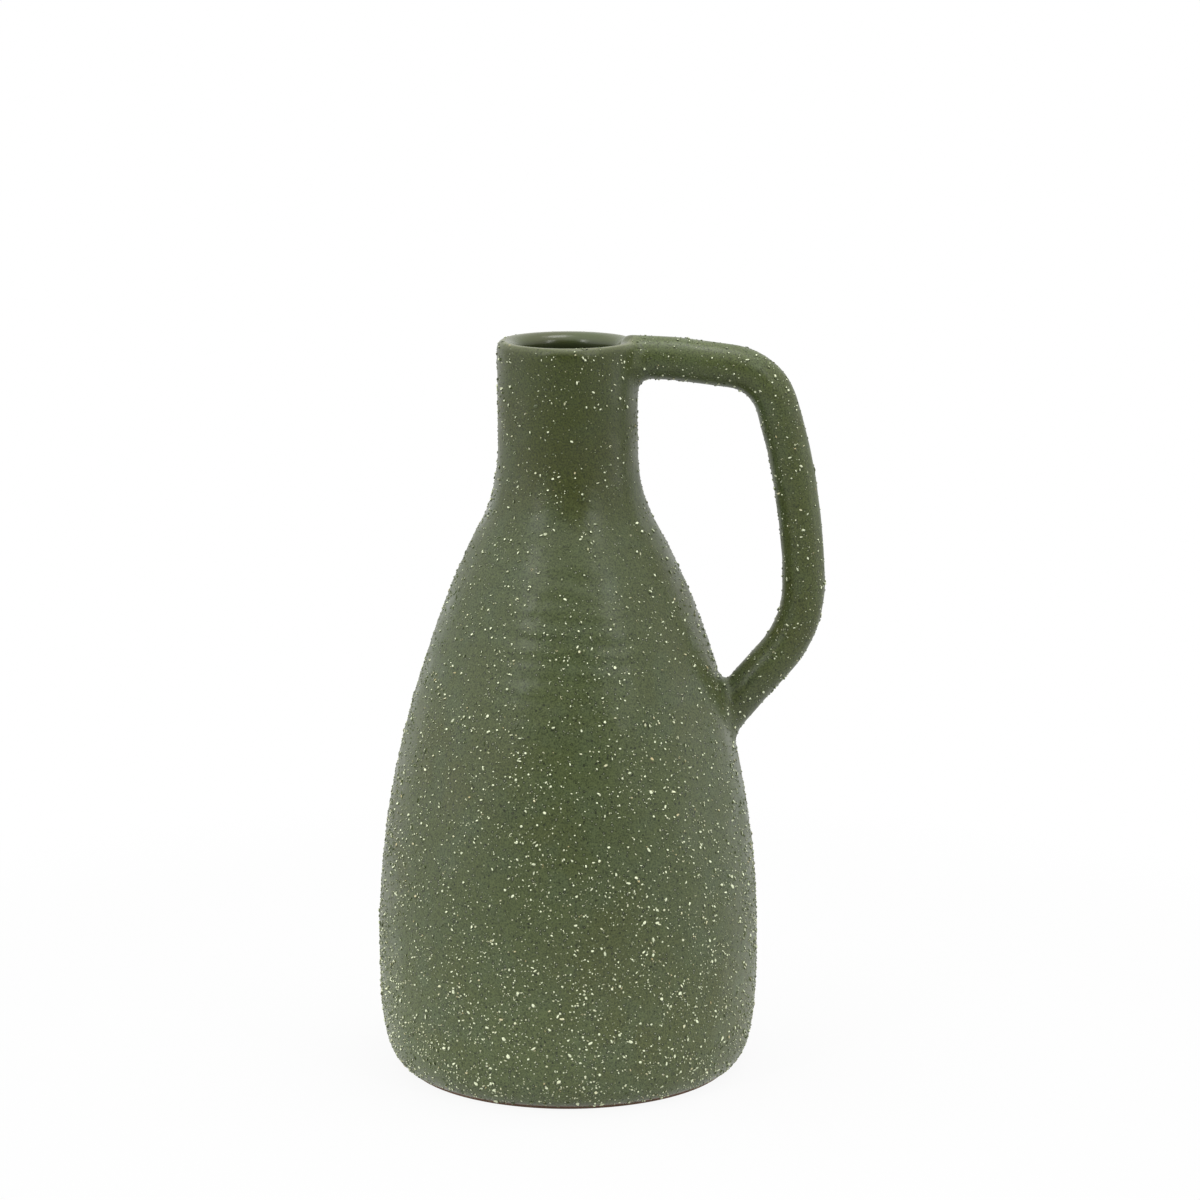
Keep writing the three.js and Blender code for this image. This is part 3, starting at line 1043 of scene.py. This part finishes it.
def sand_material(name, light, dim, pooled_and_painted_shade, thin_and_painted_light):
    """A grain under a skin of glaze that drew back from its tip: painted shade where it gathered low
    on the grain, painted light on its upper side.
    """
    m = Material(name)
    tip = m.stored("tip")
    tone = m.stored("tone")
    edge = BARE_DIM_GRAIN - (BARE_DIM_GRAIN - BARE_LIGHT_GRAIN) * tone
    bare = m.between(tip, edge, edge + BARE_EDGE)
    # Painted shade low on the grain, painted light higher up
    skin = m.mix(m.between(tip, *PAINTED_SHADE_TO_LIGHT), pooled_and_painted_shade, thin_and_painted_light)
    base = m.mix(bare, skin, m.mix(tone, dim, light))
    roughness = SKIN_ROUGHNESS + BARE_ROUGHER * bare
    return m.finish({"Base Color": base, "Roughness": roughness}, m.reliefs(GRAIN_RELIEF))


def covered_sand_material(look):
    """A grain with glaze all over it."""
    m = Material("covered_sand")
    dim, light = shaded(look.moss, COVERED_DIM), shaded(look.moss, COVERED_LIGHT)
    base = m.mix(m.stored("tone"), dim, light)
    return m.finish({"Base Color": base, "Roughness": look.roughness})


# Sand, scattered by geometry nodes
GRIT_INPUTS = {
    "Geometry": ("Sheet",),
    "Float": ("Low density", "High density", "Height", "Smallest", "Largest", "Dimness", "Glaze run"),
    "Int": ("Segments", "Rings", "Seed"),
    "Material": ("Material",),
}

# Where the grains lie, and how big they mostly are
CLUMPS = Pattern(13 * MM, 2, 0.30, 0.68, strength=1.3)
CLUMPS_LEAST = 0.35
THINNING_OUT = 0.7
MOSTLY_SMALL = 2.5

# How each grain is turned, stretched and made angular, in parts of its size
TURNED_AT_MOST = (0.45, 0.45, 3.1)
STRETCH_LEAST = 0.9
STRETCH_MORE = 1.1
MOSTLY_ROUND = 2.5
GRAIN_BREADTH = (0.65, 1.05)
GRAIN_HEIGHT = (0.55, 0.95)
ANGULAR = 0.09

# The grain and the rim that are repeated, before they are scaled
GRAIN_RADIUS = 0.5
GRAIN_SUNK = 0.06
RIM_RADIUS = 0.75
RIM_SWEEP = 4.9
RIM_THICKNESS = 0.26


def grit_tree(name, form):
    """Scatters grains over a sheet: many near its foot and few at its top, in loose clumps.

    The form makes the grain that is repeated. Each grain keeps two numbers: a tone, from 0 for
    a dim one to 1 for a light one, and a tip, which rises to 1 where the glaze left it bare. The
    tip also sets painted shade low on the grain and on its lower side, and painted light above.
    """
    tree = bpy.data.node_groups.new(name, "GeometryNodeTree")
    for kind, sockets in GRIT_INPUTS.items():
        for socket in sockets:
            tree.interface.new_socket(socket, in_out="INPUT", socket_type=f"NodeSocket{kind}")
    tree.interface.new_socket("Grains", in_out="OUTPUT", socket_type="NodeSocketGeometry")
    n = Nodes(tree)
    given = n.add("NodeGroupInput")
    seed = given["Seed"]

    place = n.add("GeometryNodeInputPosition")["Position"]
    rise = n.between(n.upward(place) / given["Height"], 0.0, 1.0) ** THINNING_OUT
    low, high = given["Low density"], given["High density"]
    density = (low + (high - low) * rise) * (n.patches(place, CLUMPS) + CLUMPS_LEAST)
    scatter = {"Mesh": given["Sheet"], "Density": density, "Seed": seed}
    spots = n.add("GeometryNodeDistributePointsOnFaces", scatter)

    size_draw = random_number(n, 0.0, 1.0, seed + 1) ** MOSTLY_SMALL
    size = given["Smallest"] * (given["Largest"] / given["Smallest"]) ** size_draw
    tone = random_number(n, 0.0, 1.0, seed + 2) ** given["Dimness"]
    points = store(n, spots["Points"], "tone", tone)
    points = store(n, points, "size", size)
    points = store(n, points, "lean", n.upward(spots["Normal"]))
    size = kept(n, "size")

    grains = n.add("GeometryNodeInstanceOnPoints", {
        "Points": points,
        "Instance": form(n, given),
        "Rotation": spots["Rotation"],
        "Scale": n.vector(size, size, size),
    })
    grains = n.add("GeometryNodeRotateInstances", {
        "Instances": grains["Instances"],
        "Rotation": random_vector(n, TURNED_AT_MOST, seed + 3),
    })
    stretch = STRETCH_LEAST + STRETCH_MORE * random_number(n, 0.0, 1.0, seed + 4) ** MOSTLY_ROUND
    breadth = random_number(n, *GRAIN_BREADTH, seed + 5)
    height = random_number(n, *GRAIN_HEIGHT, seed + 6)
    stretched = {"Instances": grains["Instances"], "Scale": n.vector(stretch, breadth, height)}
    grains = n.add("GeometryNodeScaleInstances", stretched)["Instances"]

    real = n.add("GeometryNodeRealizeInstances", {"Geometry": grains})["Geometry"]
    jitter = {0: random_vector(n, (ANGULAR, ANGULAR, ANGULAR), seed + 7), "Scale": size}
    offset = n.add("ShaderNodeVectorMath", jitter, operation="SCALE")["Vector"]
    rough = n.add("GeometryNodeSetPosition", {"Geometry": real, "Offset": offset})["Geometry"]
    facing = n.upward(n.add("GeometryNodeInputNormal")["Normal"])
    # The upper side of each grain rises: its bare cap and painted light move up, painted shade down
    bare = kept(n, "tip") + given["Glaze run"] * (facing - kept(n, "lean"))
    dressed = {"Geometry": store(n, rough, "tip", bare), "Material": given["Material"]}
    dressed = n.add("GeometryNodeSetMaterial", dressed)["Geometry"]
    n.add("NodeGroupOutput", {"Grains": dressed})
    return tree


def random_number(n, low, high, seed):
    """A number drawn for each point."""
    return n.add("FunctionNodeRandomValue", {2: low, 3: high, "Seed": seed}, data_type="FLOAT")[1]


def random_vector(n, reach, seed):
    """A vector drawn for each point, as far either way as its reach."""
    sockets = {0: tuple(-side for side in reach), 1: reach, "Seed": seed}
    return n.add("FunctionNodeRandomValue", sockets, data_type="FLOAT_VECTOR")[0]


def store(n, geometry, name, value):
    """Keeps a number on each point under a name."""
    sockets = {"Geometry": geometry, "Name": name, "Value": value}
    return n.add("GeometryNodeStoreNamedAttribute", sockets, data_type="FLOAT")["Geometry"]


def kept(n, name):
    """The number that was kept under a name."""
    return n.add("GeometryNodeInputNamedAttribute", {"Name": name}, data_type="FLOAT")["Attribute"]


def grain_mesh(n, given):
    """An angular grain one unit across, a little sunk, with a number that rises to its tip."""
    cut = {"Radius": GRAIN_RADIUS, "Segments": given["Segments"], "Rings": given["Rings"]}
    ball = n.add("GeometryNodeMeshUVSphere", cut)["Mesh"]
    rise = n.upward(n.add("GeometryNodeInputPosition")["Position"]) + GRAIN_RADIUS
    sunk = {"Geometry": store(n, ball, "tip", rise), "Translation": (0.0, 0.0, -GRAIN_SUNK)}
    return n.add("GeometryNodeTransform", sunk)["Geometry"]


def rim_mesh(n, given):
    """The curled rim of a burst bubble, two units across, open on one side."""
    arc = {"Radius": RIM_RADIUS, "Sweep Angle": RIM_SWEEP, "Resolution": given["Segments"]}
    arc = n.add("GeometryNodeCurveArc", arc)["Curve"]
    profile = {"Radius": RIM_THICKNESS, "Resolution": given["Rings"]}
    profile = n.add("GeometryNodeCurvePrimitiveCircle", profile)["Curve"]
    rim = {"Curve": arc, "Profile Curve": profile, "Fill Caps": True}
    return store(n, n.add("GeometryNodeCurveToMesh", rim)["Mesh"], "tip", 1.0)


def scattered(name, tree, sheet, values):
    """The grains that the tree makes on a sheet, as one plain mesh."""
    grains = placed(name, sheet)
    modifier = grains.modifiers.new("grit", "NODES")
    modifier.node_group = tree
    for item in tree.interface.items_tree:
        if item.in_out == "INPUT" and item.name in values:
            modifier[item.identifier] = values[item.name]
    take_result(grains)
    grains.data.name = name
    return grains


def dress(piece, slot, *nodes):
    """Hangs a piece on the body and hides the nodes that it stands for."""
    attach(piece, BODY)
    if nodes:
        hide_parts(*nodes)


class VASE_OT_glaze_coat(bpy.types.Operator):
    """Make the outer glaze over body and handle"""

    bl_idname = "vase.glaze_coat"
    bl_label = "Outer glaze"

    def execute(self, context):
        s = context.scene.vase
        field = GlazeField(s.body, s.handle)
        sheet = glaze_sheet(s.body, s.handle, field)
        coat = finished("outer_glaze", sheet, s.look, field)
        coat.data.materials.append(outer_glaze_material(s.body, s.look))
        face = coat.data.copy()
        face.name = "glaze_face"
        thickened(coat, s.body.glaze)
        dress(coat, "outer_glaze", "body_glaze", "handle_glaze")
        return {"FINISHED"}


class VASE_OT_lining(bpy.types.Operator):
    """Make the shiny glaze inside"""

    bl_idname = "vase.lining"
    bl_label = "Inner glaze"

    def execute(self, context):
        s = context.scene.vase
        lift = crest_lift(GlazeField(s.body, s.handle))
        outline = inner_outline(s.body, 0)[::-1]
        bm = turned_sheet(outline, lift, s.body.lip_inner_drop)
        lining = finished("inner_glaze_lining", bm, s.look)
        lining.data.materials.append(lining_material(s.body, s.look))
        thickened(lining, s.body.lining)
        dress(lining, "lining_glaze", "inner_glaze")
        return {"FINISHED"}


class VASE_OT_clay(bpy.types.Operator):
    """Make the clay body and dress the clay under the handle's glaze"""

    bl_idname = "vase.clay"
    bl_label = "Clay"

    def execute(self, context):
        s = context.scene.vase
        clay = clay_material("bare_clay", s.look.clay)
        bm = clay_body(s.body)
        body = finished("clay_body", bm, s.look)
        body.data.materials.append(clay)
        dress(body, "bare_clay", "body")
        slip = clay_material("joining_slip", s.look.slip)
        for node, material in (("handle", clay), ("upper_joint", slip), ("lower_joint", slip)):
            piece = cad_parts[node]
            piece.data.materials.clear()
            piece.data.materials.append(material)
        return {"FINISHED"}


def clay_body(s):
    """The cast clay wall, closed, with the bare foot under it."""
    foot = s.foot_radius - s.glaze
    bottom = np.linspace(0, foot - s.foot_bevel, round(foot / FOOT_STEP) + 1)
    base = [(r, 0.0) for r in bottom] + [(foot, s.foot_bevel), (foot, s.bare_foot)]
    outside = [tuple(p) for p in inset(outer_outline(s)[1:], s.glaze)][1:]
    inside = [tuple(p) for p in inner_outline(s, s.lining)[::-1]]
    bm = turned_sheet(np.array(base + outside + inside[1:]))
    bmesh.ops.recalc_face_normals(bm, faces=bm.faces[:])
    return bm


# Painted shade and painted light of the glaze's skin on the grains, and shades of the sand
GRAIN_POOLED_AND_PAINTED_SHADE = 0.24
GRAIN_THIN_AND_PAINTED_LIGHT = 1.35
DIM_CREAM = (0.30, 0.34)
DIM_FINE = (0.10, 0.75)
LIGHT_FINE = 0.85
DIM_COARSE = 0.7


def sand_materials(look):
    """The finish of each kind of sand."""
    cream, tan, moss = look.cream, look.tan, look.moss
    # Painted shade low on each grain and painted light on its upper side, in the glaze's colour
    dark = shaded(moss, GRAIN_POOLED_AND_PAINTED_SHADE)
    thin_and_painted_light = shaded(moss, GRAIN_THIN_AND_PAINTED_LIGHT)
    dim_cream = blended(cream, DIM_CREAM[0], tan, DIM_CREAM[1])
    dim_fine = blended(cream, DIM_FINE[0], moss, DIM_FINE[1])
    light_fine = shaded(cream, LIGHT_FINE)
    return {
        "cream_sand": sand_material("cream_sand", cream, dim_cream, dark, thin_and_painted_light),
        "coarse_sand": sand_material("coarse_sand", cream, shaded(cream, DIM_COARSE), dark, thin_and_painted_light),
        "fine_sand": sand_material("fine_sand", light_fine, dim_fine, dark, thin_and_painted_light),
        "tan_sand": sand_material("tan_sand", cream, tan, look.rust, thin_and_painted_light),
        "covered_sand": covered_sand_material(look),
        "pit_rims": sand_material("pit_rims", cream, tan, dark, thin_and_painted_light),
    }


# How far apart the kinds' seeds are, and the area that their densities are given for
SEED_STEP = 10
SQUARE_CENTIMETRE = (10 * MM) ** 2


class VASE_OT_grit(bpy.types.Operator):
    """Scatter sand over the outer glaze"""

    bl_idname = "vase.grit"
    bl_label = "Sand"

    def execute(self, context):
        s = context.scene.vase
        grit = s.grit
        sheet = bpy.data.meshes["glaze_face"]
        grains = grit_tree("scatter_grains", grain_mesh)
        rims = grit_tree("scatter_rims", rim_mesh)
        fine, least, coarse, largest = grit.fine, grit.least, grit.coarse, grit.largest
        # Name, tree, density, smallest, largest, segments, rings and dimness of each kind
        kinds = (
            ("cream_sand", grains, grit.cream_low, least, 1.3 * coarse, 6, 3, 0.8),
            ("coarse_sand", grains, grit.coarse_low, coarse, largest, 7, 5, 0.7),
            ("fine_sand", grains, grit.fine_low, fine, 1.05 * least, 4, 3, 1.0),
            ("tan_sand", grains, grit.tan_low, least, largest, 6, 4, 1.0),
            ("covered_sand", grains, grit.covered_low, fine, 0.8 * largest, 5, 3, 1.0),
            ("pit_rims", rims, grit.rims_low, 0.5 * least, 0.32 * largest, 8, 4, 0.8),
        )
        materials = sand_materials(s.look)
        for i, (name, tree, low, smallest, biggest, segments, rings, dimness) in enumerate(kinds):
            density = low / SQUARE_CENTIMETRE
            values = {
                "Low density": density,
                "High density": density * grit.high_share,
                "Height": s.body.rim_height,
                "Smallest": smallest,
                "Largest": biggest,
                "Dimness": dimness,
                "Glaze run": s.look.glaze_run_and_painted_light,
                "Segments": segments,
                "Rings": rings,
                "Seed": grit.seed + SEED_STEP * i,
                "Material": materials[name],
            }
            dress(scattered(name, tree, sheet, values), "outer_glaze")
        bpy.data.meshes.remove(sheet)
        return {"FINISHED"}


class VASE_OT_stage(bpy.types.Operator):
    """Set up the camera, the lamps and the floor"""

    bl_idname = "vase.stage"
    bl_label = "Stage"

    def execute(self, context):
        stage = context.scene.vase.stage
        add_camera(context.scene, stage)
        for name, (place, size) in LAMPS.items():
            add_lamp(f"{name}_lamp", place, size, getattr(stage, f"{name}_power"))
        add_floor(stage)
        light_room(context.scene, stage)
        context.scene.view_settings.view_transform = "Standard"
        return {"FINISHED"}


# Width of the camera's sensor in millimetres
SENSOR_WIDTH = 36

# Width and height of the lamps
TALL = (0.16, 0.60)
LOW = (0.50, 0.30)
SQUARE = (0.50, 0.50)

# Place and size of each lamp, and the point on the vase that all of them face
LAMPS = {
    "left": ((-0.81, -0.96, 0.97), TALL),
    "right": ((0.85, -0.96, 0.90), TALL),
    "low_left": ((-1.28, -0.22, 0.16), LOW),
    "low_right": ((1.30, -0.06, 0.14), LOW),
    "top": ((0.25, 0.0, 1.60), SQUARE),
}
LAMPS_FACE = Vector((0, 0, 0.14))

# Background as the camera sees it
WHITE = (1, 1, 1, 1)

# The floor: half its width, its grey under the vase and far out, and where one turns into the other
FLOOR_HALF = 6.0
FLOOR_NEAR = (0.6, 0.6, 0.6)
FLOOR_FAR = (0.12, 0.12, 0.12)
FLOOR_DARKER = (0.15, 0.5)

# Where the room's walls and ceiling fade in, as parts of a direction
SIDE_WALL = (0.35, 0.95)
CEILING = (0.4, 0.95)
FAR_WALL = (0.0, 0.7)
MIRRORED_WHITE = (-0.7, 0.6)


def add_camera(scene, stage):
    """The camera, in front of the vase and looking a little down."""
    camera = placed("camera", bpy.data.cameras.new("camera"))
    camera.data.sensor_width = SENSOR_WIDTH
    camera.data.lens = stage.lens
    camera.location = (0, -stage.camera_distance, stage.camera_height)
    camera.rotation_euler = (math.pi / 2 - stage.camera_tilt, 0, -stage.camera_pan)
    scene.camera = camera


def add_lamp(name, place, size, power):
    """A softbox that faces the vase."""
    lamp = bpy.data.lights.new(name, "AREA")
    lamp.shape = "RECTANGLE"
    lamp.size, lamp.size_y = size
    lamp.energy = power
    holder = placed(name, lamp)
    holder.location = place
    holder.rotation_euler = (LAMPS_FACE - Vector(place)).to_track_quat("-Z", "Y").to_euler()


def add_floor(stage):
    """A wide white floor that keeps a soft shadow of the vase."""
    half = FLOOR_HALF
    mesh = bpy.data.meshes.new("floor")
    corners = [(-half, -half, 0), (half, -half, 0), (half, half, 0), (-half, half, 0)]
    mesh.from_pydata(corners, [], [(0, 1, 2, 3)])
    m = Material("white_floor")
    out = m.from_axis()
    far_out = m.between(out, stage.floor_fade / 3, stage.floor_fade)
    white_share = stage.floor_white + (1 - stage.floor_white) * far_out
    grey = m.mix(m.between(out, *FLOOR_DARKER), FLOOR_NEAR, FLOOR_FAR)
    paint = m.add("ShaderNodeBsdfDiffuse", {"Color": grey})["BSDF"]
    white = m.add("ShaderNodeEmission", {"Color": WHITE, "Strength": 1.0})["Emission"]
    path = m.add("ShaderNodeLightPath")
    rays = path["Is Camera Ray"] + path["Is Glossy Ray"] + path["Is Transmission Ray"]
    seen = m.add("ShaderNodeMath", {0: rays, 1: 1.0}, operation="MINIMUM")["Value"]
    surface = m.add("ShaderNodeMixShader", {0: white_share * seen, 1: paint, 2: white})["Shader"]
    m.add("ShaderNodeOutputMaterial", {"Surface": surface})
    mesh.materials.append(m.material)
    placed("floor", mesh)


def light_room(scene, stage):
    """A room with bright walls at the sides and a bright ceiling, which the camera sees white."""
    world = bpy.data.worlds.new("white_room")
    world.use_nodes = True
    scene.world = world
    n = Nodes(world.node_tree)
    n.tree.nodes.clear()
    way = n.add("ShaderNodeSeparateXYZ", {0: n.add("ShaderNodeTexCoord")["Generated"]})
    room = stage.room_left * n.between(0 - way["X"], *SIDE_WALL)
    room = room + stage.room_right * n.between(way["X"], *SIDE_WALL)
    room = room + stage.room_top * n.between(way["Z"], *CEILING)
    room = room + stage.room_back * n.between(way["Y"], *FAR_WALL)
    path = n.add("ShaderNodeLightPath")
    mirrored = path["Is Glossy Ray"] + path["Is Transmission Ray"]
    white = path["Is Camera Ray"] + mirrored * n.between(way["Y"], *MIRRORED_WHITE)
    strength = room + (1 - room) * white
    light = n.add("ShaderNodeBackground", {"Color": WHITE, "Strength": strength})
    n.add("ShaderNodeOutputWorld", {"Surface": light["Background"]})


class VASE_PT_panel(bpy.types.Panel):
    """The vase's sizes and looks, and the buttons that make its pieces"""

    bl_idname = "VASE_PT_panel"
    bl_label = "Stoneware vase"
    bl_space_type = "VIEW_3D"
    bl_region_type = "UI"
    bl_category = "Vase"

    def draw(self, context):
        settings = context.scene.vase
        for group in (settings.body, settings.handle, settings.look, settings.grit, settings.stage):
            box = self.layout.box()
            for name in group.__annotations__:
                box.prop(group, name)
        for operator in OPERATORS:
            self.layout.operator(operator.bl_idname)


OPERATORS = (
    VASE_OT_glaze_coat,
    VASE_OT_lining,
    VASE_OT_clay,
    VASE_OT_grit,
    VASE_OT_stage,
)
CLASSES = (
    VaseBodySizes,
    VaseHandleSizes,
    VaseGlazeLook,
    VaseGritSizes,
    VaseStage,
    VaseSettings,
    *OPERATORS,
    VASE_PT_panel,
)


def register():
    for cls in CLASSES:
        bpy.utils.register_class(cls)
    bpy.types.Scene.vase = PointerProperty(type=VaseSettings)


def unregister():
    del bpy.types.Scene.vase
    for cls in reversed(CLASSES):
        bpy.utils.unregister_class(cls)


def main():
    register()
    bpy.ops.vase.glaze_coat()
    bpy.ops.vase.lining()
    bpy.ops.vase.clay()
    bpy.ops.vase.grit()
    bpy.ops.vase.stage()


if __name__ == "__main__":
    main()
